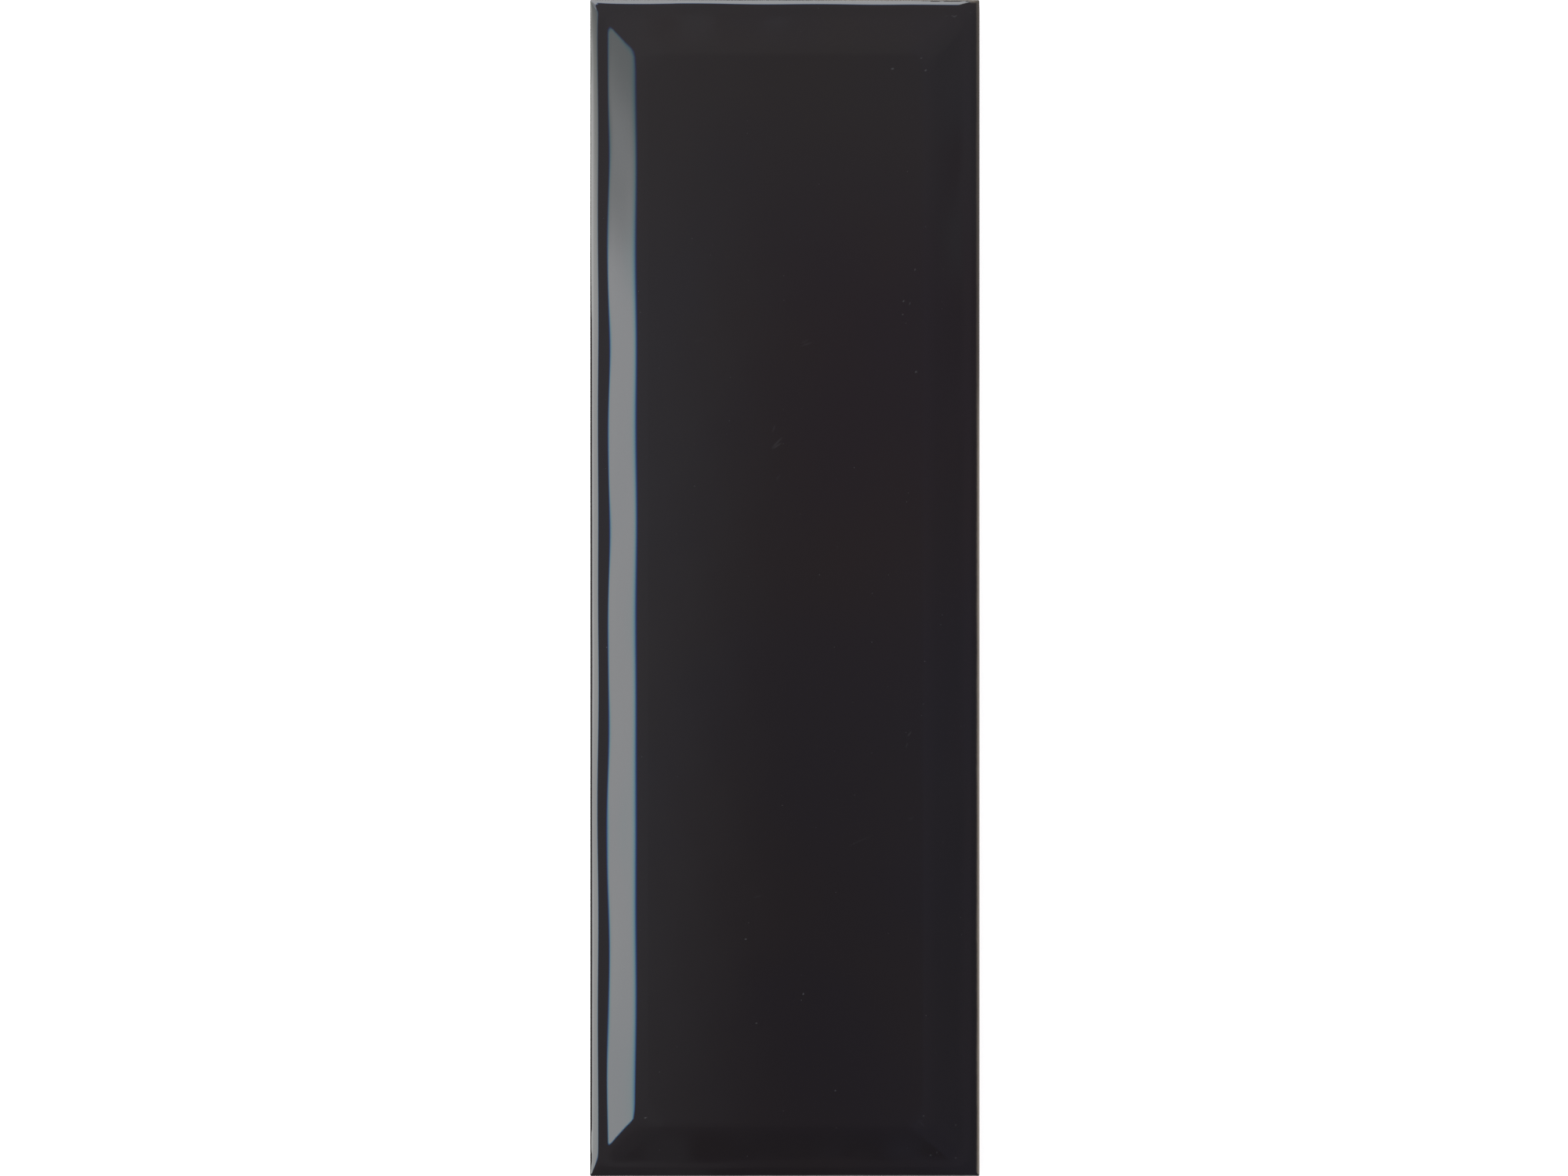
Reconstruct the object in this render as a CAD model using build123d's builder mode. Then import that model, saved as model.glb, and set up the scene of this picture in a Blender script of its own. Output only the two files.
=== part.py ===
from build123d import *
import os

# Pressed and fired ceramic wall tile with a raised, bevelled face.
# It lies on its back: origin at the centre of the bedding plane, +Y along the
# long side and +Z out of the glazed face. All sizes are in millimetres.

# Overall size
tile_width = 99.0  # across X
tile_length = 299.0  # along Y
tile_thickness = 8.0  # from the bedding plane to the raised face

# Glazed face
margin_width = 4.0  # level margin between the outer edge and the foot of the bevel
bevel_width = 9.0  # run of the bevel, seen from the front
bevel_rise = 2.3  # height of the raised face above the margin
ridge_radius = 16.0  # glaze rounds the bevel's top edge and its mitres
foot_radius = 8.0  # glaze pools in the foot of the bevel
rim_radius = 2.0  # round-over of the outer edge

# Side walls: upright near the face, drawn in towards the back so that the tile leaves its die
draft_height = 2.4
draft_inset = 0.5

# Back: a raised lattice with shallow cells between its bars, as a key for adhesive
lattice_pitch = 11.0
lattice_bar = 2.2  # width of a bar at the bedding plane
lattice_border = 5.0  # least width of the plain border outside the cells
cell_depth = 0.7
cell_draft = 30.0  # lean of a cell's walls, in degrees

# Sizes that follow from the ones above
margin_height = tile_thickness - bevel_rise
foot_width = tile_width - 2 * margin_width
foot_length = tile_length - 2 * margin_width
face_width = foot_width - 2 * bevel_width
face_length = foot_length - 2 * bevel_width
back_width = tile_width - 2 * draft_inset
back_length = tile_length - 2 * draft_inset
cell_size = lattice_pitch - lattice_bar
cell_columns = int((back_width - 2 * lattice_border + lattice_bar) // lattice_pitch)
cell_rows = int((back_length - 2 * lattice_border + lattice_bar) // lattice_pitch)

# Shape of one cell of the back, which narrows inwards
with BuildPart() as cell:
    with BuildSketch(Plane.XY):
        Rectangle(cell_size, cell_size)
    extrude(amount=cell_depth, taper=cell_draft)

with BuildPart() as tile:
    # Drawn-in lower part of the side walls
    with BuildSketch(Plane.XY):
        Rectangle(back_width, back_length)
    with BuildSketch(Plane.XY.offset(draft_height)):
        Rectangle(tile_width, tile_length)
    loft(ruled=True)

    # Upright walls, up to the level margin
    with BuildSketch(Plane.XY.offset(draft_height)):
        Rectangle(tile_width, tile_length)
    extrude(amount=margin_height - draft_height)

    # Raised centre: four bevels, mitred at the corners, rise to the flat face
    with BuildSketch(Plane.XY.offset(margin_height)):
        Rectangle(foot_width, foot_length)
    with BuildSketch(Plane.XY.offset(tile_thickness)):
        Rectangle(face_width, face_length)
    loft(ruled=True)

    # Soft ridges round the flat face and down the four mitres
    face_edges, mitre_edges = tile.edges().group_by(Axis.Z)[:-3:-1]
    fillet(face_edges + mitre_edges, ridge_radius)

    # The margin's inner outline is the foot of the bevel, and its outer outline is the rim
    margin = tile.faces().filter_by(Axis.Z).sort_by(Axis.Z)[-2]
    fillet(margin.inner_wires()[0].edges(), foot_radius)
    margin = tile.faces().filter_by(Axis.Z).sort_by(Axis.Z)[-2]
    fillet(margin.outer_wire().edges(), rim_radius)

    # Cells pressed into the back, which leave the lattice standing
    with GridLocations(lattice_pitch, lattice_pitch, cell_columns, cell_rows):
        add(cell.part, mode=Mode.SUBTRACT)

tile.part.label = "tile"

os.makedirs("parts", exist_ok=True)
export_step(tile.part, "parts/tile.step")
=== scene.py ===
"""Glossy black wall tile with a mitred bevel, lying on its back on a pale floor.

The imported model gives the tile's place and size. Here its plain solid is replaced by a fine mesh of the same
form, with the soft creases and the unevenness of the glaze, and given its finish, light and camera.
Lengths are in metres.
"""

import math
from collections import namedtuple

import bpy
import numpy as np
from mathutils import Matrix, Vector


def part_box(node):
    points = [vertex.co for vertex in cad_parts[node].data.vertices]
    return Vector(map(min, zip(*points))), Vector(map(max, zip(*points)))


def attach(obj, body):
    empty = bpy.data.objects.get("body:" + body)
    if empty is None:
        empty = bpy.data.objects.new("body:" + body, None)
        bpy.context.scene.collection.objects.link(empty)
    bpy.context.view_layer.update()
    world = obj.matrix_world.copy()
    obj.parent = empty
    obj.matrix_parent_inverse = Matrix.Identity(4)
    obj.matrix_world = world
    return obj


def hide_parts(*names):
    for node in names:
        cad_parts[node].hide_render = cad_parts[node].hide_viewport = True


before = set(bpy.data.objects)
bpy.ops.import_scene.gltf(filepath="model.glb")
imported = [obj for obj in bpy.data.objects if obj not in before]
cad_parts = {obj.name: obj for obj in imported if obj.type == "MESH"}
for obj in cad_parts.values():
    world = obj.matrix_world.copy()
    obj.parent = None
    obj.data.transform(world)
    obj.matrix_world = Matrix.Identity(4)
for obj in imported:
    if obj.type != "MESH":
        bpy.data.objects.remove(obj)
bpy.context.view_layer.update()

MM = 0.001

# Size of the tile, from the frame
tile_low, tile_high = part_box("tile")
HALF_X = (tile_high.x - tile_low.x) / 2
HALF_Y = (tile_high.y - tile_low.y) / 2
FACE_Z = tile_high.z

# Bevelled face, measured inwards from the tile's edge
FOOT = 4.56 * MM  # middle of the bevel's foot
FOOT_SOFT = 1.32 * MM  # the foot's curve reaches this far to each side of it
RIDGE = 12.45 * MM  # middle of the bevel's top edge
RIDGE_SOFT = 2.475 * MM
BEVEL_RISE = 2.195 * MM
MARGIN_Z = FACE_Z - BEVEL_RISE
MITRE_SOFT = 4.3 * MM  # width over which two bevels run into each other
MITRE_FOOT_SOFT = 3.6 * MM  # and the same at their foot
MITRE_RUN = 5.0 * MM  # length of bevel over which the mitre softens

# Rim: the margin sags a little, bends down near the edge and ends in a tight arris
SAG = 0.41 * MM
SAG_WIDTH = 9.0 * MM
SAG_POWER = 2.3
BEND = 2.08 * MM  # middle of the bend
BEND_SOFT = 0.43 * MM
BEND_SLOPE = 0.295
BEND_CURVE = 0.12 / MM  # by which the slope grows outside the bend
RIM_MITRE = 1.55  # the less, the longer the turn of the rim at a corner
CORNER_RADIUS = 0.4 * MM  # in plan
ARRIS = 0.56 * MM
ARRIS_SLOPE = 0.74
ARRIS_DROP = 0.12 * MM  # by which the arris falls below that slope, mostly at its end
ARRIS_POWER = 6
EASE_SLOPE = 0.26  # by which the arris is less steep at the far left corner
EASE_DROP = 0.6  # share of its drop that it loses there
EASE_REACH = 150.0 * MM
EASE_NEAR = 0.45  # share of this at the near left corner
EASE_NEAR_REACH = 60.0 * MM

# Side walls
DRAFT_Z = 2.4 * MM  # the walls lean inwards below this height
DRAFT_INSET = 0.5 * MM
HEEL = 0.25 * MM  # worn lower edge

# Back
LATTICE_PITCH = 11.0 * MM
LATTICE_BAR = 2.2 * MM
CELL_SIZE = LATTICE_PITCH - LATTICE_BAR
CELL_DEPTH = 0.7 * MM
CELL_COLUMNS, CELL_ROWS = 8, 26
CELL_WALL = 0.6 * MM  # width of a cell's sloping wall, with its rounded lip
CELL_LIP = 0.25  # share of that width that lies outside the cell
BACK_BORDER = 1.5 * MM  # plain strip outside the back's grid

# Unevenness of the glaze, each with the waves that it follows
Waves = namedtuple("Waves", "longest shortest count seed")
FOOT_SHIFT = 0.9 * MM  # by which the foot's line strays
FOOT_SHIFT_WAVES = Waves(160 * MM, 16 * MM, 9, 23171)
FOOT_WANDER = 0.5  # share by which the foot's curve varies as glaze pools in it
FOOT_WANDER_WAVES = Waves(55 * MM, 14 * MM, 6, 4)
BEND_SHIFT = 0.3 * MM  # by which the bend's line strays
BEND_SHIFT_WAVES = Waves(160 * MM, 25 * MM, 7, 51308)
ARRIS_WANDER = 0.06  # by which the arris' slope varies
ARRIS_WANDER_WAVES = Waves(20 * MM, 3 * MM, 7, 9)
GLAZE_WAVE = 0.006 * MM  # height of the waves on the face
GLAZE_WAVE_WAVES = Waves(60 * MM, 12 * MM, 8, 23)

# Mesh of the face: zones from the arris inwards, with where each ends and its count of lines
FACE_ZONES = [
    (BEND + 2 * BEND_SOFT, 24),
    (FOOT + 1.5 * FOOT_SOFT, 20),
    (RIDGE - RIDGE_SOFT, 8),
    (RIDGE + RIDGE_SOFT, 16),
]
FACE_STEP = 2.0 * MM  # between lines inside the last zone

# Mesh of the arris, the upright walls and the drawn-in walls: rings, in shares of the way down each
ARRIS_RINGS = (0.1, 0.3, 0.5, 0.7, 0.85, 0.94, 1.0)
WALL_RINGS = (0.4, 0.8)
DRAFT_RINGS = (0.0, 0.1, 0.4, 0.7, 1.0)
CELL_WALL_LINES = 5  # over a sloping wall of the back's cells
SHARP_ANGLE = math.radians(40)  # edges that turn by more are shaded sharp

# Parts of the mesh, and the islands of its map, in shares of the map's width and height
FACE, WALL, BACK = range(3)
Island = namedtuple("Island", "left width low height")
FACE_ISLAND = Island(0.005, 0.60, 0.005, 0.99)
BACK_ISLAND = Island(0.615, 0.25, 0.005, 0.99)
SIDE_ISLAND = Island(0.875, 0.03, 0.005, 0.99)
SIDE_ISLAND_STEP = 0.038  # from the left-hand wall across to the right-hand one
END_ISLAND = Island(0.955, 0.04, 0.01, 0.45)
END_ISLAND_STEP = 0.5  # from the near wall up to the far one


def soft_min(first, second, width):
    """The lesser of two lengths, rounded off where they differ by less than width."""
    share = np.clip(0.5 + 0.5 * (second - first) / width, 0.0, 1.0)
    return second * (1 - share) + first * share - width * share * (1 - share)


def smooth_ramp(length, start, end):
    """Rises from 0 at start to a slope of 1 at end, with no corner."""
    span = end - start
    t = np.clip((length - start) / span, 0.0, 1.0)
    return span * (t**3 - t**4 / 2) + np.maximum(length - end, 0.0)


def uneven_field(x, y, waves):
    """An uneven field between -1 and 1: waves of several lengths in random directions."""
    draw = np.random.default_rng(waves.seed)
    total = 0.0
    for length in np.geomspace(waves.longest, waves.shortest, waves.count):
        turn, phase = draw.uniform(0.0, 2 * math.pi, 2)
        total = total + np.sin(2 * math.pi * (x * math.cos(turn) + y * math.sin(turn)) / length + phase)
    return total / waves.count


def rim_fall(to_edge, stray):
    """How far the rim lies below a level margin: a long sag, and a bend that strays a little in and out."""
    out = BEND + stray - to_edge
    bend = BEND_SLOPE * smooth_ramp(out, -BEND_SOFT, BEND_SOFT) + BEND_CURVE / 2 * np.maximum(out, 0.0) ** 2
    return bend + SAG * np.maximum(1 - to_edge / SAG_WIDTH, 0.0) ** SAG_POWER


def face_height(x, y):
    """Height of the glazed face over a point of the plan."""
    to_side, to_end = HALF_X - np.abs(x), HALF_Y - np.abs(y)
    up_bevel = np.clip((np.minimum(to_side, to_end) - FOOT) / MITRE_RUN, 0.0, 1.0)
    inside = soft_min(to_side, to_end, MITRE_FOOT_SOFT + (MITRE_SOFT - MITRE_FOOT_SOFT) * up_bevel)

    foot = FOOT + FOOT_SHIFT * uneven_field(x, y, FOOT_SHIFT_WAVES)
    pool = FOOT_SOFT * (1 + FOOT_WANDER * uneven_field(x, y, FOOT_WANDER_WAVES))
    up = smooth_ramp(inside, foot - pool, foot + pool)
    level = smooth_ramp(inside, RIDGE - RIDGE_SOFT, RIDGE + RIDGE_SOFT)
    bevel = BEVEL_RISE / (RIDGE - foot) * (up - level)

    to_edge = (to_side**-RIM_MITRE + to_end**-RIM_MITRE) ** (-1 / RIM_MITRE)
    rim = rim_fall(to_edge, BEND_SHIFT * uneven_field(x, y, BEND_SHIFT_WAVES))
    ripple = GLAZE_WAVE * (uneven_field(x, y, GLAZE_WAVE_WAVES) - 1)
    return MARGIN_Z + bevel - rim + ripple


def face_lines(half):
    """Lines across the face, dense over the rim, the foot and the ridge, and wider apart between."""
    inwards = [ARRIS]
    for end, count in FACE_ZONES:
        inwards.extend(np.linspace(inwards[-1], end, count + 1)[1:])
    low = np.array(inwards) - half
    middle = np.linspace(low[-1], -low[-1], round(-2 * low[-1] / FACE_STEP) + 1)
    return np.concatenate([low, middle[1:-1], -low[::-1]])


def back_lines(cells, half):
    """Lines across the back: over every cell's sloping walls, and along its middle."""
    outer = CELL_SIZE / 2 + CELL_LIP * CELL_WALL
    wall = np.linspace(outer - CELL_WALL, outer, CELL_WALL_LINES)
    across = np.concatenate([-wall[::-1], [0.0], wall])
    centres = (np.arange(cells) - (cells - 1) / 2) * LATTICE_PITCH
    border = half - DRAFT_INSET - BACK_BORDER
    return np.concatenate([[-border], (centres[:, None] + across).ravel(), [border]])


def back_height(x, y):
    """Height of the back over the bedding plane: cells with sloping walls between flat bars."""

    def inside_cell(place, cells):
        centre = np.clip(np.round(place / LATTICE_PITCH - 0.5) + 0.5, (1 - cells) / 2, (cells - 1) / 2)
        return CELL_SIZE / 2 - np.abs(place - centre * LATTICE_PITCH)

    depth = soft_min(inside_cell(x, CELL_COLUMNS), inside_cell(y, CELL_ROWS), CELL_WALL)
    t = np.clip(depth / CELL_WALL + CELL_LIP, 0.0, 1.0)
    return CELL_DEPTH * t * t * (3 - 2 * t)


def round_corners(x, y, half_x, half_y, radius):
    """Draws the points of a rectangle's corners in, so that its outline turns them on an arc."""
    past_x = np.clip((np.abs(x) - half_x) / radius + 1, 0.0, 1.0)
    past_y = np.clip((np.abs(y) - half_y) / radius + 1, 0.0, 1.0)
    drawn_x = past_x * (1 - np.sqrt(1 - past_y**2 / 2))
    drawn_y = past_y * (1 - np.sqrt(1 - past_x**2 / 2))
    return x - np.sign(x) * radius * drawn_x, y - np.sign(y) * radius * drawn_y


class TileMesh:
    """Gathers the tile's points and faces. Rings of points run anticlockwise, seen from above."""

    def __init__(self):
        self.points = np.empty((0, 3))
        self.faces, self.parts = [], []

    def add_points(self, x, y, z):
        x, y, z = np.broadcast_arrays(x, y, z)
        first = len(self.points)
        self.points = np.concatenate([self.points, np.stack([x, y, z], -1).reshape(-1, 3)])
        return np.arange(first, len(self.points)).reshape(x.shape)

    def add_faces(self, corners, part):
        self.faces.extend(corners.tolist())
        self.parts.extend([part] * len(corners))

    def add_grid(self, index, part, upwards):
        quads = np.stack([index[:-1, :-1], index[1:, :-1], index[1:, 1:], index[:-1, 1:]], -1).reshape(-1, 4)
        self.add_faces(quads if upwards else quads[:, ::-1], part)

    def add_band(self, upper, lower, part):
        self.add_faces(np.stack([upper, lower, np.roll(lower, -1), np.roll(upper, -1)], -1), part)

    def add_zip(self, outer, inner, part):
        """Faces the strip between two rings of unlike counts downwards, walking round both at once."""
        rings = [(ring.tolist() + [ring[0]], self.way_round(ring)) for ring in (outer, inner)]
        at = [0, 0]
        triangles = []
        while at != [len(outer), len(inner)]:
            step = 0 if rings[0][1][at[0] + 1] <= rings[1][1][at[1] + 1] else 1
            ahead = rings[step][0][at[step] + 1]
            triangles.append([rings[0][0][at[0]], rings[1][0][at[1]], ahead])
            at[step] += 1
        self.add_faces(np.array(triangles), part)

    def way_round(self, ring):
        """The angle of each point of a ring from its first one, then a full turn, then no way on."""
        x, y = self.points[ring, 0], self.points[ring, 1]
        angle = np.arctan2(y / HALF_Y, x / HALF_X)
        tiny = 1e-9
        turn = np.mod(angle - angle[0] + tiny, 2 * math.pi)
        return np.concatenate([turn, [2 * math.pi, math.inf]])


def outline(index):
    """The outer ring of a grid of points."""
    return np.concatenate([index[:-1, 0], index[-1, :-1], index[:0:-1, -1], index[0, :0:-1]])


def make_tile():
    mesh = TileMesh()

    # Glazed face
    top_x, top_y = HALF_X - ARRIS, HALF_Y - ARRIS
    x, y = np.meshgrid(face_lines(HALF_X), face_lines(HALF_Y), indexing="ij")
    x, y = round_corners(x, y, top_x, top_y, CORNER_RADIUS)
    face = mesh.add_points(x, y, face_height(x, y))
    mesh.add_grid(face, FACE, upwards=True)

    # Arris and walls: rings that start as the outline of the face
    ring = outline(face)
    ring_x, ring_y, ring_z = mesh.points[ring].T

    def lower_ring(upper, inset, z):
        x = ring_x * (HALF_X - inset) / top_x
        y = ring_y * (HALF_Y - inset) / top_y
        lower = mesh.add_points(x, y, z)
        mesh.add_band(upper, lower, WALL)
        return lower

    ease_far = np.maximum(1 - np.hypot(top_x + ring_x, top_y - ring_y) / EASE_REACH, 0.0)
    ease_near = np.maximum(1 - np.hypot(top_x + ring_x, top_y + ring_y) / EASE_NEAR_REACH, 0.0)
    ease = np.maximum(ease_far, EASE_NEAR * ease_near)
    wander = ARRIS_WANDER * uneven_field(ring_x, ring_y, ARRIS_WANDER_WAVES)
    slope = ARRIS_SLOPE - EASE_SLOPE * ease + wander
    drop = ARRIS_DROP * (1 - EASE_DROP * ease)
    for share in ARRIS_RINGS:
        z = ring_z - slope * ARRIS * share - drop * share**ARRIS_POWER
        ring = lower_ring(ring, ARRIS * (1 - share), z)
    for share in WALL_RINGS:
        ring = lower_ring(ring, 0.0, z + (DRAFT_Z - z) * share)
    for share in DRAFT_RINGS:
        ring = lower_ring(ring, DRAFT_INSET * share, DRAFT_Z + (HEEL - DRAFT_Z) * share)
    ring = lower_ring(ring, DRAFT_INSET + HEEL, 0.0)

    # Back
    x, y = np.meshgrid(back_lines(CELL_COLUMNS, HALF_X), back_lines(CELL_ROWS, HALF_Y), indexing="ij")
    back = mesh.add_points(x, y, back_height(x, y))
    mesh.add_zip(ring, outline(back), BACK)
    mesh.add_grid(back, BACK, upwards=False)

    data = bpy.data.meshes.new("glazed_tile")
    data.from_pydata(mesh.points.tolist(), [], mesh.faces)
    data.polygons.foreach_set("use_smooth", np.ones(len(mesh.faces), bool))
    data.set_sharp_from_angle(angle=SHARP_ANGLE)
    add_map(data, mesh)
    tile = bpy.data.objects.new("glazed_tile", data)
    bpy.context.collection.objects.link(tile)
    return tile


def add_map(data, mesh):
    """Lays the mesh out flat for baking: the face takes most room, then the back and the four walls."""
    layer = data.uv_layers.new(name="OFBake")
    corners = np.concatenate([np.array(face) for face in mesh.faces])
    sides = np.array([len(face) for face in mesh.faces])
    part = np.repeat(mesh.parts, sides)
    x, y, z = mesh.points[corners].T
    along_x, along_y, up = x / HALF_X / 2 + 0.5, y / HALF_Y / 2 + 0.5, z / FACE_Z

    # A wall's faces lie on the side that their middle is nearest to
    starts = np.cumsum(sides) - sides
    middle_x = np.repeat(np.add.reduceat(x, starts) / sides, sides)
    middle_y = np.repeat(np.add.reduceat(y, starts) / sides, sides)
    on_end = HALF_Y - np.abs(middle_y) < HALF_X - np.abs(middle_x)
    second = np.where(on_end, middle_y > 0, middle_x > 0)

    def lay(island, across, along, beside=0.0, above=0.0):
        return island.left + beside + island.width * across, island.low + above + island.height * along

    # Each corner lies on the first of these islands that it belongs to
    belongs = [part == FACE, part == BACK, on_end, ~on_end]
    places = [
        lay(FACE_ISLAND, along_x, along_y),
        lay(BACK_ISLAND, along_x, along_y),
        lay(END_ISLAND, up, along_x, above=END_ISLAND_STEP * second),
        lay(SIDE_ISLAND, up, along_y, beside=SIDE_ISLAND_STEP * second),
    ]
    u = np.select(belongs, [place[0] for place in places])
    v = np.select(belongs, [place[1] for place in places])
    layer.data.foreach_set("uv", np.stack([u, v], -1).ravel())


class Nodes:
    """Short calls for building a node tree."""

    # Two values and the result of a mix, by their numbers among its sockets
    MIX_SOCKETS = {"FLOAT": (2, 3, 0), "RGBA": (6, 7, 2)}

    def __init__(self, tree):
        self.tree = tree
        tree.nodes.clear()

    def add(self, kind, inputs=(), **settings):
        made = self.tree.nodes.new("ShaderNode" + kind)
        for name, value in settings.items():
            setattr(made, name, value)
        for name, value in dict(inputs).items():
            self.feed(made.inputs[name], value)
        return made

    def feed(self, socket, value):
        if isinstance(value, bpy.types.NodeSocket):
            self.tree.links.new(value, socket)
        else:
            socket.default_value = value

    def split(self, place):
        """The three coordinates of a place or a direction."""
        parts = self.add("SeparateXYZ", {0: place}).outputs
        return parts["X"], parts["Y"], parts["Z"]

    def math(self, operation, first, second=0.0):
        return self.add("Math", {0: first, 1: second}, operation=operation).outputs[0]

    def total(self, *terms):
        result = terms[0]
        for term in terms[1:]:
            result = self.math("ADD", result, term)
        return result

    def product(self, *factors):
        result = factors[0]
        for factor in factors[1:]:
            result = self.math("MULTIPLY", result, factor)
        return result

    def excess(self, value, start):
        """How far value lies above start, and 0 below it."""
        return self.math("MAXIMUM", self.math("SUBTRACT", value, start), 0.0)

    def step(self, value, start, end, low=0.0, high=1.0):
        """Goes smoothly from low to high as value goes from start to end."""
        inputs = {"Value": value, "From Min": start, "From Max": end, "To Min": low, "To Max": high}
        return self.add("MapRange", inputs, interpolation_type="SMOOTHSTEP").outputs[0]

    def blend(self, share, first, second):
        """A colour between two, or a number between two."""
        are_numbers = [isinstance(x, float) or getattr(x, "type", "") == "VALUE" for x in (first, second)]
        kind = "FLOAT" if any(are_numbers) else "RGBA"
        first_socket, second_socket, result = self.MIX_SOCKETS[kind]
        mix = self.add("Mix", {0: share, first_socket: first, second_socket: second}, data_type=kind)
        return mix.outputs[result]

    def noise(self, place, size, detail=2.0, roughness=0.5):
        """Noise about 0.5 whose patches are about size across."""
        inputs = {"Vector": place, "Scale": 1 / size, "Detail": detail, "Roughness": roughness}
        return self.add("TexNoise", inputs).outputs["Fac"]


def colour(red, green, blue):
    return (red, green, blue, 1.0)


# Colours of the finish
GLAZE_WARM = colour(0.0096, 0.0064, 0.0076)
GLAZE_COOL = colour(0.0084, 0.0058, 0.0082)
TINT_PATCH, TINT_RANGE = 60 * MM, (0.35, 0.65)  # the noise by which the glaze drifts from warm to cool
THIN_GLAZE = colour(0.030, 0.023, 0.019)
THIN_GLAZE_PALE = colour(0.118, 0.093, 0.073)
BISCUIT = colour(0.52, 0.43, 0.335)
BISCUIT_DARK = colour(0.40, 0.315, 0.235)
DUST = colour(0.085, 0.083, 0.085)

# Gloss
GLAZE_IOR = 1.6
GLAZE_ROUGHNESS = (0.02, 0.04)
GLOSS_PATCH, GLOSS_RANGE = 25 * MM, (0.3, 0.7)  # the noise by which the roughness varies
MARK_ROUGHNESS = 0.5  # added on marks
THIN_ROUGHNESS = 0.10  # and where the glaze is thin
BODY_ROUGHNESS = 0.85

# Fine relief
PEEL, PEEL_HEIGHT = 5.0 * MM, 0.0012 * MM  # orange peel on the glaze
GRAIN, GRAIN_HEIGHT = 0.45 * MM, 0.10 * MM  # grain of the body
STAIN = 18 * MM
STAIN_SHARE, GRAIN_SHARE = 0.7, 0.5  # of the body's darker patches
DARK_RANGE = (0.45, 0.80)

# Edges of the glaze, which ends on the walls and is thin on the rim, both unevenly
SLOW_PATCH, RAGGED_PATCH = 14 * MM, 1.6 * MM
GLAZE_LINE = 2.9 * MM  # height on the walls at which the glaze ends
LINE_SLOW, LINE_RAGGED = 1.2 * MM, 0.3 * MM  # by which that height varies
LINE_SOFT = 0.06 * MM
THIN_WIDTH = 0.5 * MM  # the glaze is thin this near to the edge
THIN_WIDTH_RIGHT = 1.15 * MM
THIN_SLOW, THIN_RAGGED = 0.3, 0.2  # shares by which that width varies
THIN_CORE = 0.2  # share of it within which the glaze is thinnest
STRIP_START, STRIP_FULL = 3.0 * MM, 2.0 * MM  # the right-hand and far edges are this near
STRIP_END = 0.3 * MM  # over which the right-hand edge's look ends at the near corner
PALE_FAR_X = (0.0, 15 * MM)  # where the thin glaze of the far edge turns pale
BARE_WIDTH = 0.85 * MM  # the glaze is almost worn away along part of the right-hand edge
BARE_CORE = 0.05 * MM
BARE_Y = (60 * MM, 30 * MM)  # where that part starts
BARE_SHARE = 0.9

# Dust specks, thicker in some places than in others
SPECK_CELL = 4.5 * MM  # at most one speck in a cell of this size
SPECK_RADIUS = 0.17 * MM
SPECK_CORE = 0.1  # share of its radius within which a speck is strongest
SPECK_BEND = 0.35 * MM  # size of the noise that bends their outlines
SPECK_STRENGTH = (0.15, 0.65)
CROWD_PATCH, CROWD_RANGE = 30 * MM, (0.4, 0.75)  # the noise by which they crowd
CROWD_BAR = (0.97, 0.45)  # a cell's chance has to pass this for a speck, from where few lie to where many do
MARKS_Z = (MARGIN_Z - 1.2 * MM, MARGIN_Z - 0.6 * MM)  # specks and marks lie on the face, above this height

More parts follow.
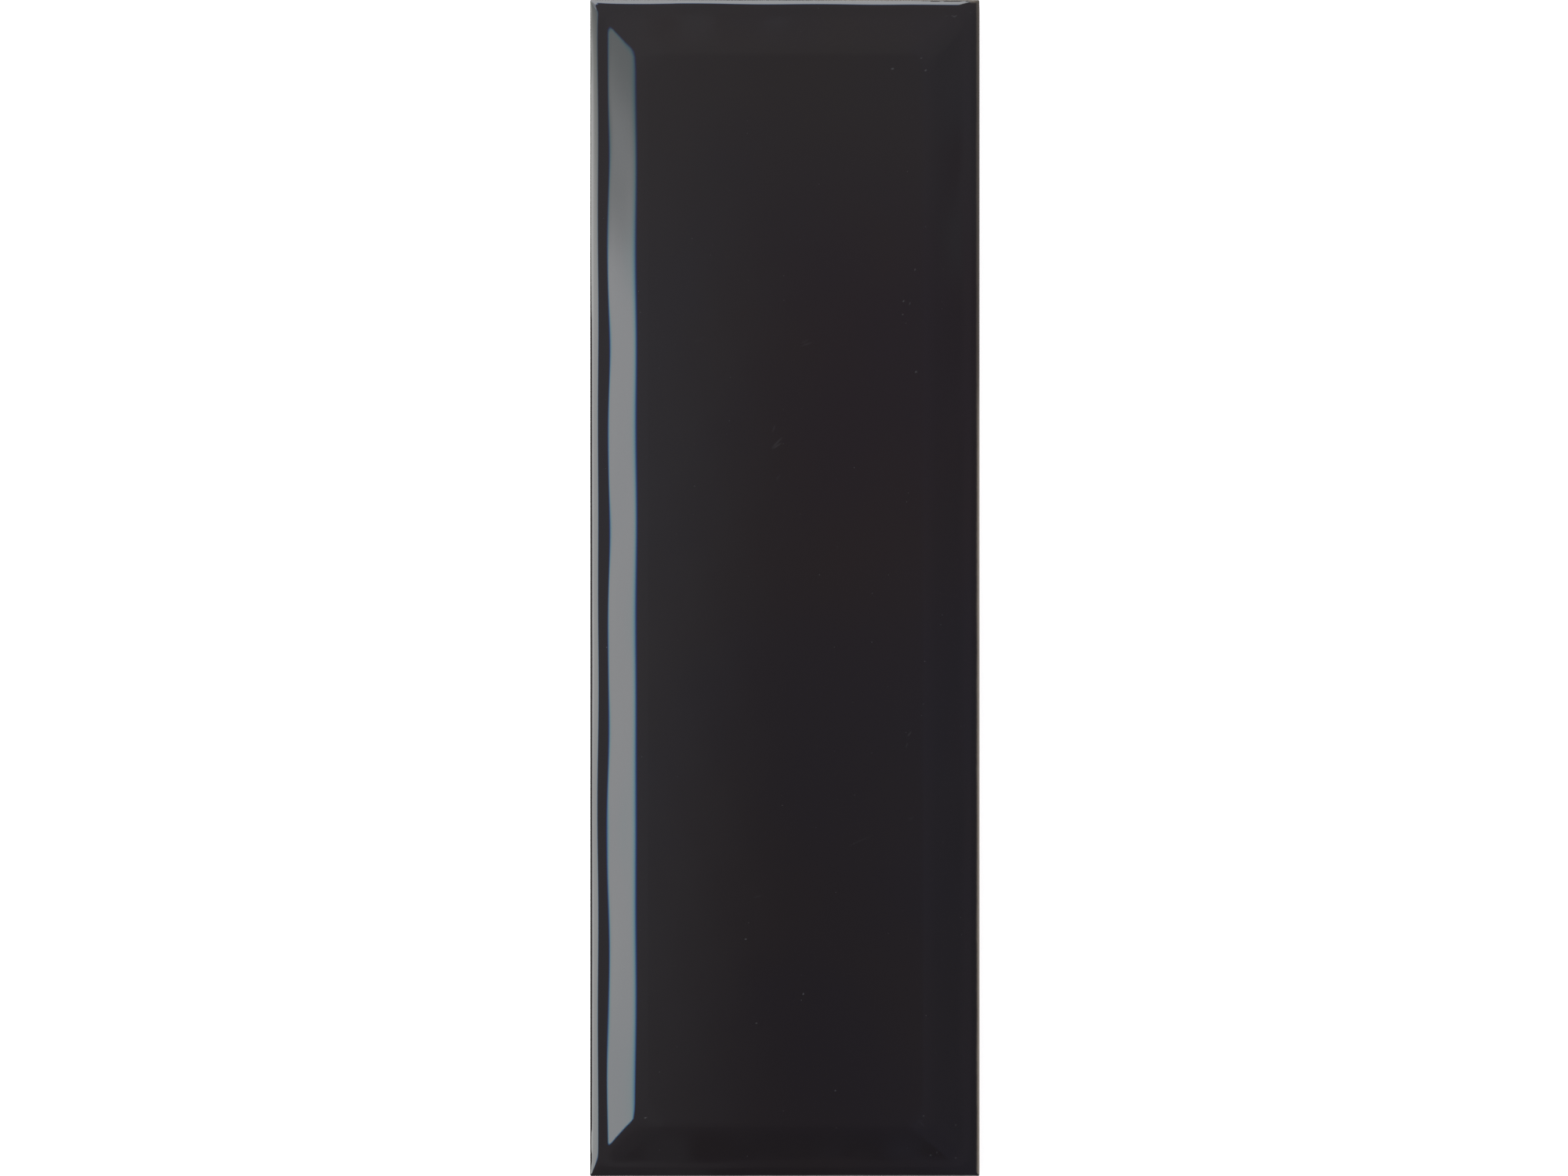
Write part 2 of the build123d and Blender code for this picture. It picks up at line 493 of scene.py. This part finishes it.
# Hair scratches and larger specks on the face, in millimetres and degrees
MARK_CORE = 0.3  # share of its half width within which a mark is strongest
Mark = namedtuple("Mark", "x y length width angle strength")
MARKS = [
    Mark(-2.0, 36.8, 5.0, 0.66, 45, 0.105),
    Mark(-2.0, 36.0, 3.8, 0.66, 34, 0.105),
    Mark(-2.8, 40.4, 2.6, 0.56, 72, 0.080),
    Mark(5.6, 61.8, 4.0, 0.56, 20, 0.080),
    Mark(5.1, 62.5, 3.0, 0.50, 26, 0.060),
    Mark(-21.6, 62.9, 5.0, 0.50, 24, 0.035),
    Mark(-1.7, 28.0, 2.4, 0.52, 54, 0.070),
    Mark(31.6, -37.0, 2.2, 0.52, 52, 0.130),
    Mark(30.9, -39.9, 2.0, 0.50, 75, 0.090),
    Mark(19.3, -64.0, 9.0, 0.48, 24, 0.045),
    Mark(32.0, -58.4, 2.4, 0.50, 25, 0.070),
    Mark(-6.8, -78.2, 3.2, 0.46, 18, 0.065),
    Mark(27.3, 131.6, 1.1, 0.62, 5, 0.36),
    Mark(35.7, 131.2, 0.9, 0.54, 30, 0.40),
    Mark(34.6, 134.3, 0.7, 0.46, 10, 0.27),
    Mark(42.7, 145.2, 1.3, 0.46, -20, 0.20),
    Mark(43.3, 145.15, 1.3, 0.42, 26, 0.24),
    Mark(40.9, 145.2, 1.1, 0.46, 8, 0.10),
    Mark(47.2, 146.2, 1.0, 0.60, 84, 0.10),
    Mark(30.1, 72.7, 0.8, 0.56, 52, 0.32),
    Mark(31.7, 72.1, 1.0, 0.42, 68, 0.21),
    Mark(29.9, 69.3, 0.6, 0.48, 0, 0.30),
    Mark(33.2, 54.8, 1.0, 0.46, 52, 0.24),
    Mark(33.4, 54.7, 0.9, 0.42, 0, 0.20),
    Mark(33.0, 80.7, 0.9, 0.42, 83, 0.27),
    Mark(-35.3, -134.3, 1.0, 0.46, 12, 0.46),
    Mark(4.7, -102.9, 0.8, 0.54, 78, 0.42),
    Mark(-9.9, -89.0, 0.7, 0.56, 0, 0.40),
    Mark(-7.2, -110.3, 0.7, 0.54, 0, 0.29),
    Mark(12.8, -127.4, 0.7, 0.54, 0, 0.33),
    Mark(35.2, -133.8, 0.7, 0.56, 20, 0.22),
    Mark(34.8, -135.9, 3.6, 0.50, -51, 0.05),
    Mark(43.4, -136.3, 0.8, 0.50, 50, 0.20),
    Mark(37.0, -144.0, 0.7, 0.52, 0, 0.32),
    Mark(38.6, -143.3, 0.8, 0.54, 60, 0.16),
    Mark(43.4, -144.7, 0.8, 0.52, 0, 0.18),
]

Cover = namedtuple("Cover", "glazed thin pale bare")


def glaze_cover(nodes, place):
    """How far a point is glazed, and how far its glaze is thin, pale or worn away, each from 0 to 1."""
    x, y, z = nodes.split(place)
    slow = nodes.noise(place, SLOW_PATCH)
    ragged = nodes.noise(place, RAGGED_PATCH, detail=3.0)
    lowest = GLAZE_LINE - (LINE_SLOW + LINE_RAGGED) / 2
    line = nodes.total(lowest, nodes.product(slow, LINE_SLOW), nodes.product(ragged, LINE_RAGGED))
    glazed = nodes.step(nodes.math("SUBTRACT", z, line), -LINE_SOFT, LINE_SOFT)

    # Strips along the right-hand edge and the far one
    to_side = nodes.math("SUBTRACT", HALF_X, nodes.math("ABSOLUTE", x))
    to_end = nodes.math("SUBTRACT", HALF_Y, nodes.math("ABSOLUTE", y))
    past_near = nodes.math("SUBTRACT", nodes.total(y, HALF_Y), to_side)
    right = nodes.step(x, HALF_X - STRIP_START, HALF_X - STRIP_FULL)
    right = nodes.product(right, nodes.step(past_near, 0.0, STRIP_END))
    far = nodes.step(y, HALF_Y - STRIP_START, HALF_Y - STRIP_FULL)
    pale = nodes.math("MAXIMUM", right, nodes.product(far, nodes.step(x, *PALE_FAR_X)))

    # Thin and worn glaze
    narrowest = 1 - (THIN_SLOW + THIN_RAGGED) / 2
    uneven = nodes.total(narrowest, nodes.product(slow, THIN_SLOW), nodes.product(ragged, THIN_RAGGED))
    width = nodes.product(nodes.blend(right, THIN_WIDTH, THIN_WIDTH_RIGHT), uneven)
    thin = nodes.step(nodes.math("MINIMUM", to_side, to_end), width, nodes.product(width, THIN_CORE))
    worn = nodes.step(to_side, nodes.product(uneven, BARE_WIDTH), BARE_CORE)
    bare = nodes.product(right, nodes.step(y, *BARE_Y), worn)
    return Cover(glazed, thin, pale, bare)


def dust_specks(nodes, place):
    """Strength of the dust at a point: specks scattered over cells, with bent outlines."""
    bend = nodes.add("TexNoise", {"Vector": place, "Scale": 1 / SPECK_BEND}).outputs["Color"]
    inputs = {0: bend, 1: (SPECK_BEND,) * 3, 2: place}
    bent = nodes.add("VectorMath", inputs, operation="MULTIPLY_ADD").outputs[0]
    specks = nodes.add("TexVoronoi", {"Vector": bent, "Scale": 1 / SPECK_CELL}, voronoi_dimensions="2D")
    chance = nodes.add("SeparateColor", {0: specks.outputs["Color"]}).outputs
    bar = nodes.step(nodes.noise(place, CROWD_PATCH), *CROWD_RANGE, *CROWD_BAR)
    reach = nodes.product(nodes.step(chance["Red"], bar, 1.0), SPECK_RADIUS / SPECK_CELL)
    dust = nodes.step(specks.outputs["Distance"], reach, nodes.product(reach, SPECK_CORE))
    return nodes.product(dust, nodes.step(chance["Green"], 0.0, 1.0, *SPECK_STRENGTH))


def placed_marks(nodes, place):
    """Strength of the scratches and larger specks at a point: ovals that fade outwards."""
    strength = 0.0
    for mark in MARKS:
        inputs = {
            "Vector": place,
            "Location": (mark.x * MM, mark.y * MM, 0.0),
            "Rotation": (0.0, 0.0, math.radians(mark.angle)),
            "Scale": (mark.length / 2 * MM, mark.width / 2 * MM, 1.0),
        }
        oval = nodes.add("Mapping", inputs, vector_type="TEXTURE").outputs[0]
        away = nodes.add("VectorMath", {0: oval}, operation="LENGTH").outputs["Value"]
        strength = nodes.total(nodes.step(away, 1.0, MARK_CORE, 0.0, mark.strength), strength)
    return strength


def ceramic_material():
    material = bpy.data.materials.new("black_glazed_ceramic")
    material.use_nodes = True
    nodes = Nodes(material.node_tree)
    place = nodes.add("TexCoord").outputs["Object"]
    height = nodes.split(place)[2]
    cover = glaze_cover(nodes, place)
    marks = nodes.total(dust_specks(nodes, place), placed_marks(nodes, place))
    marks = nodes.product(nodes.math("MINIMUM", marks, 1.0), cover.glazed, nodes.step(height, *MARKS_Z))

    # Glaze: near black, a little uneven in tint, and browner where it is thin
    drift = nodes.step(nodes.noise(place, TINT_PATCH, detail=4.0), *TINT_RANGE)
    glaze = nodes.blend(drift, GLAZE_WARM, GLAZE_COOL)
    glaze = nodes.blend(cover.thin, glaze, nodes.blend(cover.pale, THIN_GLAZE, THIN_GLAZE_PALE))
    glaze = nodes.blend(nodes.product(cover.bare, BARE_SHARE), glaze, BISCUIT)
    glaze = nodes.blend(marks, glaze, DUST)

    # Fired body on the walls and the back, with fine grain and faint stains
    grain = nodes.noise(place, GRAIN, detail=4.0, roughness=0.65)
    stain = nodes.noise(place, STAIN, detail=5.0)
    dark = nodes.total(nodes.product(stain, STAIN_SHARE), nodes.product(grain, GRAIN_SHARE))
    body = nodes.blend(nodes.step(dark, *DARK_RANGE), BISCUIT, BISCUIT_DARK)

    # Orange peel on the glaze and grain on the body
    peel = nodes.product(nodes.noise(place, PEEL, detail=1.0), PEEL_HEIGHT)
    relief = nodes.blend(cover.glazed, nodes.product(grain, GRAIN_HEIGHT), peel)
    bump = nodes.add("Bump", {"Height": relief, "Strength": 1.0, "Distance": 1.0})

    roughness = nodes.step(nodes.noise(place, GLOSS_PATCH, detail=3.0), *GLOSS_RANGE, *GLAZE_ROUGHNESS)
    on_marks = nodes.product(marks, MARK_ROUGHNESS)
    roughness = nodes.total(roughness, on_marks, nodes.product(cover.thin, THIN_ROUGHNESS))
    shader = nodes.add("BsdfPrincipled", {
        "Base Color": nodes.blend(cover.glazed, body, glaze),
        "Roughness": nodes.blend(cover.glazed, BODY_ROUGHNESS, roughness),
        "IOR": GLAZE_IOR,
        "Normal": bump.outputs[0],
    })
    nodes.add("OutputMaterial", {"Surface": shader.outputs[0]})
    return material


# Camera
CAMERA_LENS = 120.0  # in millimetres, as is the sensor's width
SENSOR = 36.0
PHOTO_WIDTH, PHOTO_HEIGHT = 2000, 1500  # the tile's length fills the picture's height
EDGE_Z = 4.4 * MM  # height of the tile's outline
CAMERA_X = -0.2 * MM  # the tile stands a pixel to the right of the picture's middle
FILL = 1.0004  # the tile is a little longer than the picture

# Floor
FLOOR_RADIUS = 3.0
FLOOR_SIDES = 96
FLOOR_GAP = 0.05 * MM
FLOOR_COLOUR = colour(0.80, 0.80, 0.80)
FLOOR_ROUGHNESS = 0.9
FLOOR_GLOW = colour(1.0, 1.0, 1.0)
FLOOR_GLOW_STRENGTH = 0.8


def make_camera():
    data = bpy.data.cameras.new("camera")
    data.sensor_width = SENSOR
    data.lens = CAMERA_LENS
    frame_width = 2 * HALF_Y / FILL * PHOTO_WIDTH / PHOTO_HEIGHT
    camera = bpy.data.objects.new("camera", data)
    camera.location = (CAMERA_X, 0.0, EDGE_Z + frame_width * CAMERA_LENS / SENSOR)
    bpy.context.collection.objects.link(camera)
    bpy.context.scene.camera = camera


def seen_directly(nodes):
    """1 for rays from the camera and for mirrored or refracted ones, else 0."""
    path = nodes.add("LightPath").outputs
    seen = nodes.math("MAXIMUM", path["Is Camera Ray"], path["Is Glossy Ray"])
    return nodes.math("MAXIMUM", seen, path["Is Transmission Ray"])


def make_floor():
    around = np.linspace(0, 2 * math.pi, FLOOR_SIDES, endpoint=False)
    data = bpy.data.meshes.new("floor")
    rim = np.stack([np.cos(around), np.sin(around), 0 * around], -1) * FLOOR_RADIUS
    data.from_pydata(rim.tolist(), [], [list(range(len(rim)))])
    floor = bpy.data.objects.new("floor", data)
    floor.location.z = -FLOOR_GAP
    bpy.context.collection.objects.link(floor)
    material = bpy.data.materials.new("white_floor")
    material.use_nodes = True
    nodes = Nodes(material.node_tree)
    shader = nodes.add("BsdfPrincipled", {
        "Base Color": FLOOR_COLOUR,
        "Roughness": FLOOR_ROUGHNESS,
        "Specular IOR Level": 0.0,
        "Emission Color": FLOOR_GLOW,
        "Emission Strength": nodes.product(seen_directly(nodes), FLOOR_GLOW_STRENGTH),
    })
    nodes.add("OutputMaterial", {"Surface": shader.outputs[0]})
    data.materials.append(material)


# Key panel, upright on the left. Each colour of its light has its own strength and its own soft ends.
CHANNELS = ("Red", "Green", "Blue")
KEY_X = -0.6
KEY_LOW, KEY_HIGH = 0.25, 1.60
KEY_NEAR, KEY_FAR = -0.42, 0.64
KEY_RADIANCE = 4.4
KEY_TINT = (0.904, 0.936, 0.960)
KEY_LOW_TINT, KEY_LOW_Z = (0.142, 0.131, 0.081), (0.90, 0.30)  # added towards its lower end
KEY_FOOT_TINT, KEY_FOOT_Z = 0.36, (0.40, 0.31)  # added close to its lower end
KEY_FAR_SHADE, KEY_FAR_Y = (0.58, 0.57, 0.59), (0.107, 0.25)  # taken away towards its upper far corner
KEY_SLANT, KEY_SLANT_Z = 1.5, (0.55, 0.75)  # slope of that shade's lower edge, and its heights
KEY_NEAR_SHADE, KEY_NEAR_Y = (0.06, 0.04, 0.03), (-0.14, -0.21)  # taken away towards its near end
KEY_TOP_DARK, KEY_TOP_LIT = (1.34, 1.422, 1.581), (0.851, 0.983, 1.048)
KEY_NEAR_DARK, KEY_NEAR_LIT = (-0.314, -0.326, -0.340), (-0.268, -0.272, -0.276)
KEY_FAR_DARK, KEY_FAR_LIT = (0.495, 0.510, 0.540), (0.400, 0.405, 0.410)  # of its upper part
KEY_UPPER_Z = (0.77, 0.86)
KEY_CORNER_Z, KEY_CORNER_CURVE = 0.92, 0.3  # its upper near corner is rounded off above this height
KEY_LONGER, KEY_LONGER_Z = 0.055, (0.85, 0.40)  # its lower part reaches this much nearer

# Top panel, upright beyond the far end, whose upper edge rises towards the left
TOP_Y = 0.75
TOP_LOW, TOP_HIGH = 0.20, 2.10
TOP_LEFT, TOP_RIGHT = -1.35, 0.11
TOP_RADIANCE = 4.8
TOP_TINT = (0.96, 1.00, 1.04)
TOP_EDGE_DARK, TOP_EDGE_LIT = (0.395, 0.400, 0.410), (0.360, 0.362, 0.365)
TOP_RISE_START, TOP_RISE_SLOPE = -0.045, 2.4
TOP_EASE_START, TOP_EASE_SLOPE = -0.25, 1.05  # from here it rises more slowly by this slope
TOP_LEFT_SHADE, TOP_LEFT_X = 0.55, (-0.45, -0.70)  # taken away towards its left end
TOP_END_DARK, TOP_END_LIT = 0.092, 0.082
TOP_TIP_START, TOP_TIP_SLOPE = 0.044, 3.0  # its upper edge rises again towards the right end


def make_panel(name, middle, facing, width, height, radiance):
    """Makes a soft upright panel, unseen by the camera itself, and returns the nodes of its light."""
    data = bpy.data.lights.new(name, "AREA")
    data.shape = "RECTANGLE"
    data.size, data.size_y = width, height
    data.energy = radiance * math.pi * width * height
    panel = bpy.data.objects.new(name, data)
    panel.location = middle
    panel.rotation_euler = Vector(facing).to_track_quat("-Z", "Y").to_euler()
    panel.visible_camera = False
    bpy.context.collection.objects.link(panel)
    data.use_nodes = True
    return Nodes(data.node_tree)


def lit_place(nodes):
    """The coordinates of a point of a panel."""
    return nodes.split(nodes.add("NewGeometry").outputs["Position"])


def emit(nodes, channels):
    """Gives a panel the light of the three channels."""
    tint = nodes.add("CombineColor", dict(zip(CHANNELS, channels)))
    light = nodes.add("Emission", {"Color": tint.outputs[0], "Strength": 1.0})
    nodes.add("OutputLight", {"Surface": light.outputs[0]})


def make_key_panel():
    middle = (KEY_X, (KEY_NEAR + KEY_FAR) / 2, (KEY_LOW + KEY_HIGH) / 2)
    width, height = KEY_FAR - KEY_NEAR, KEY_HIGH - KEY_LOW
    nodes = make_panel("key_panel", middle, (1, 0, 0), width, height, KEY_RADIANCE)
    _, y, z = lit_place(nodes)
    low = nodes.step(z, *KEY_LOW_Z)
    foot = nodes.step(z, *KEY_FOOT_Z, 0.0, KEY_FOOT_TINT)
    slanted = nodes.total(z, nodes.product(y, KEY_SLANT))
    far = nodes.product(nodes.step(slanted, *KEY_SLANT_Z), nodes.step(y, *KEY_FAR_Y))
    near = nodes.step(y, *KEY_NEAR_Y)
    upper = nodes.step(z, *KEY_UPPER_Z)
    corner = nodes.math("POWER", nodes.excess(z, KEY_CORNER_Z), 2.0)
    longer = nodes.step(z, *KEY_LONGER_Z, 0.0, KEY_LONGER)
    rounded = nodes.total(y, nodes.product(corner, -KEY_CORNER_CURVE), longer)
    channels = []
    for i in range(len(CHANNELS)):
        bright = nodes.total(
            KEY_TINT[i],
            nodes.product(low, KEY_LOW_TINT[i]),
            nodes.product(far, -KEY_FAR_SHADE[i]),
            nodes.product(near, -KEY_NEAR_SHADE[i]),
            foot,
        )
        top = nodes.step(z, KEY_TOP_DARK[i], KEY_TOP_LIT[i])
        near_end = nodes.step(rounded, KEY_NEAR_DARK[i], KEY_NEAR_LIT[i])
        far_end = nodes.blend(upper, 1.0, nodes.step(y, KEY_FAR_DARK[i], KEY_FAR_LIT[i]))
        channels.append(nodes.product(bright, top, near_end, far_end))
    emit(nodes, channels)


def make_top_panel():
    middle = ((TOP_LEFT + TOP_RIGHT) / 2, TOP_Y, (TOP_LOW + TOP_HIGH) / 2)
    width, height = TOP_RIGHT - TOP_LEFT, TOP_HIGH - TOP_LOW
    nodes = make_panel("top_panel", middle, (0, -1, 0), width, height, TOP_RADIANCE)
    x, _, z = lit_place(nodes)
    rise = nodes.product(nodes.excess(TOP_RISE_START, x), -TOP_RISE_SLOPE)
    ease = nodes.product(nodes.excess(TOP_EASE_START, x), TOP_EASE_SLOPE)
    tip = nodes.product(nodes.excess(x, TOP_TIP_START), -TOP_TIP_SLOPE)
    under_edge = nodes.total(z, rise, ease, tip)
    left_end = nodes.step(x, *TOP_LEFT_X, 1.0, 1 - TOP_LEFT_SHADE)
    ends = nodes.product(nodes.step(x, TOP_END_DARK, TOP_END_LIT), left_end)
    channels = []
    for i in range(len(CHANNELS)):
        edge = nodes.step(under_edge, TOP_EDGE_DARK[i], TOP_EDGE_LIT[i])
        channels.append(nodes.product(edge, ends, TOP_TINT[i]))
    emit(nodes, channels)


# Dome: colours of the studio's walls and ceiling, and where they lie, by the direction towards them
DOME_NEAR = colour(0.140, 0.137, 0.137)
DOME_FAR, DOME_FAR_Y = colour(0.345, 0.340, 0.325), (-0.11, 0.205)
DOME_NEAREST, DOME_NEAREST_Y = colour(0.124, 0.121, 0.125), (-0.20, -0.40)
DOME_RIGHT, DOME_RIGHT_X = colour(0.30, 0.32, 0.44), (0.0, 0.06)
DOME_RIGHT_SHARE = 0.25
DOME_HORIZON, DOME_HORIZON_Z = colour(1.0, 1.0, 1.0), (0.16, 0.06)

# Darker, warmer patch overhead on the right, which fades towards the far end
SHADE = colour(0.20, 0.103, 0.118)
SHADE_X, SHADE_Y = (-0.02, 0.015), (-0.04, 0.035)
SHADE_FADE_Y, SHADE_SHARE = (0.095, 0.05), 0.3

# Glow overhead on the left: shares that it keeps towards the far end, the middle and the near end
GLOW = colour(0.60, 0.65, 0.70)
GLOW_X = (0.002, -0.036)
GLOW_FAR_Y, GLOW_FAR = (0.10, 0.02), (0.22, 0.385)
GLOW_MIDDLE_Y, GLOW_MIDDLE = (-0.11, -0.06), (0.72, 0.95)
GLOW_NEAR_Y, GLOW_NEAR = (-0.40, -0.10), (0.55, 1.0)


def make_world():
    world = bpy.data.worlds.new("studio")
    bpy.context.scene.world = world
    world.use_nodes = True
    nodes = Nodes(world.node_tree)
    x, y, z = nodes.split(nodes.add("TexCoord").outputs["Generated"])
    dome = nodes.blend(nodes.step(y, *DOME_FAR_Y), DOME_NEAR, DOME_FAR)
    dome = nodes.blend(nodes.step(y, *DOME_NEAREST_Y), dome, DOME_NEAREST)
    dome = nodes.blend(nodes.step(x, *DOME_RIGHT_X, 0.0, DOME_RIGHT_SHARE), dome, DOME_RIGHT)
    shade = nodes.product(
        nodes.step(x, *SHADE_X),
        nodes.step(y, *SHADE_Y),
        nodes.step(y, *SHADE_FADE_Y, 0.0, SHADE_SHARE),
    )
    dome = nodes.blend(shade, dome, SHADE)
    glow = nodes.product(
        nodes.step(x, *GLOW_X),
        nodes.step(y, *GLOW_FAR_Y, *GLOW_FAR),
        nodes.step(y, *GLOW_NEAR_Y, *GLOW_NEAR),
        nodes.step(y, *GLOW_MIDDLE_Y, *GLOW_MIDDLE),
    )
    dome = nodes.blend(glow, dome, GLOW)
    dome = nodes.blend(nodes.step(z, *DOME_HORIZON_Z), dome, DOME_HORIZON)
    back = nodes.add("Background", {"Color": dome, "Strength": 1.0})
    nodes.add("OutputWorld", {"Surface": back.outputs[0]})


tile = make_tile()
tile.data.materials.append(ceramic_material())
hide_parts("tile")
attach(tile, "root")

make_camera()
make_floor()
make_key_panel()
make_top_panel()
make_world()
bpy.context.scene.view_settings.view_transform = "Standard"
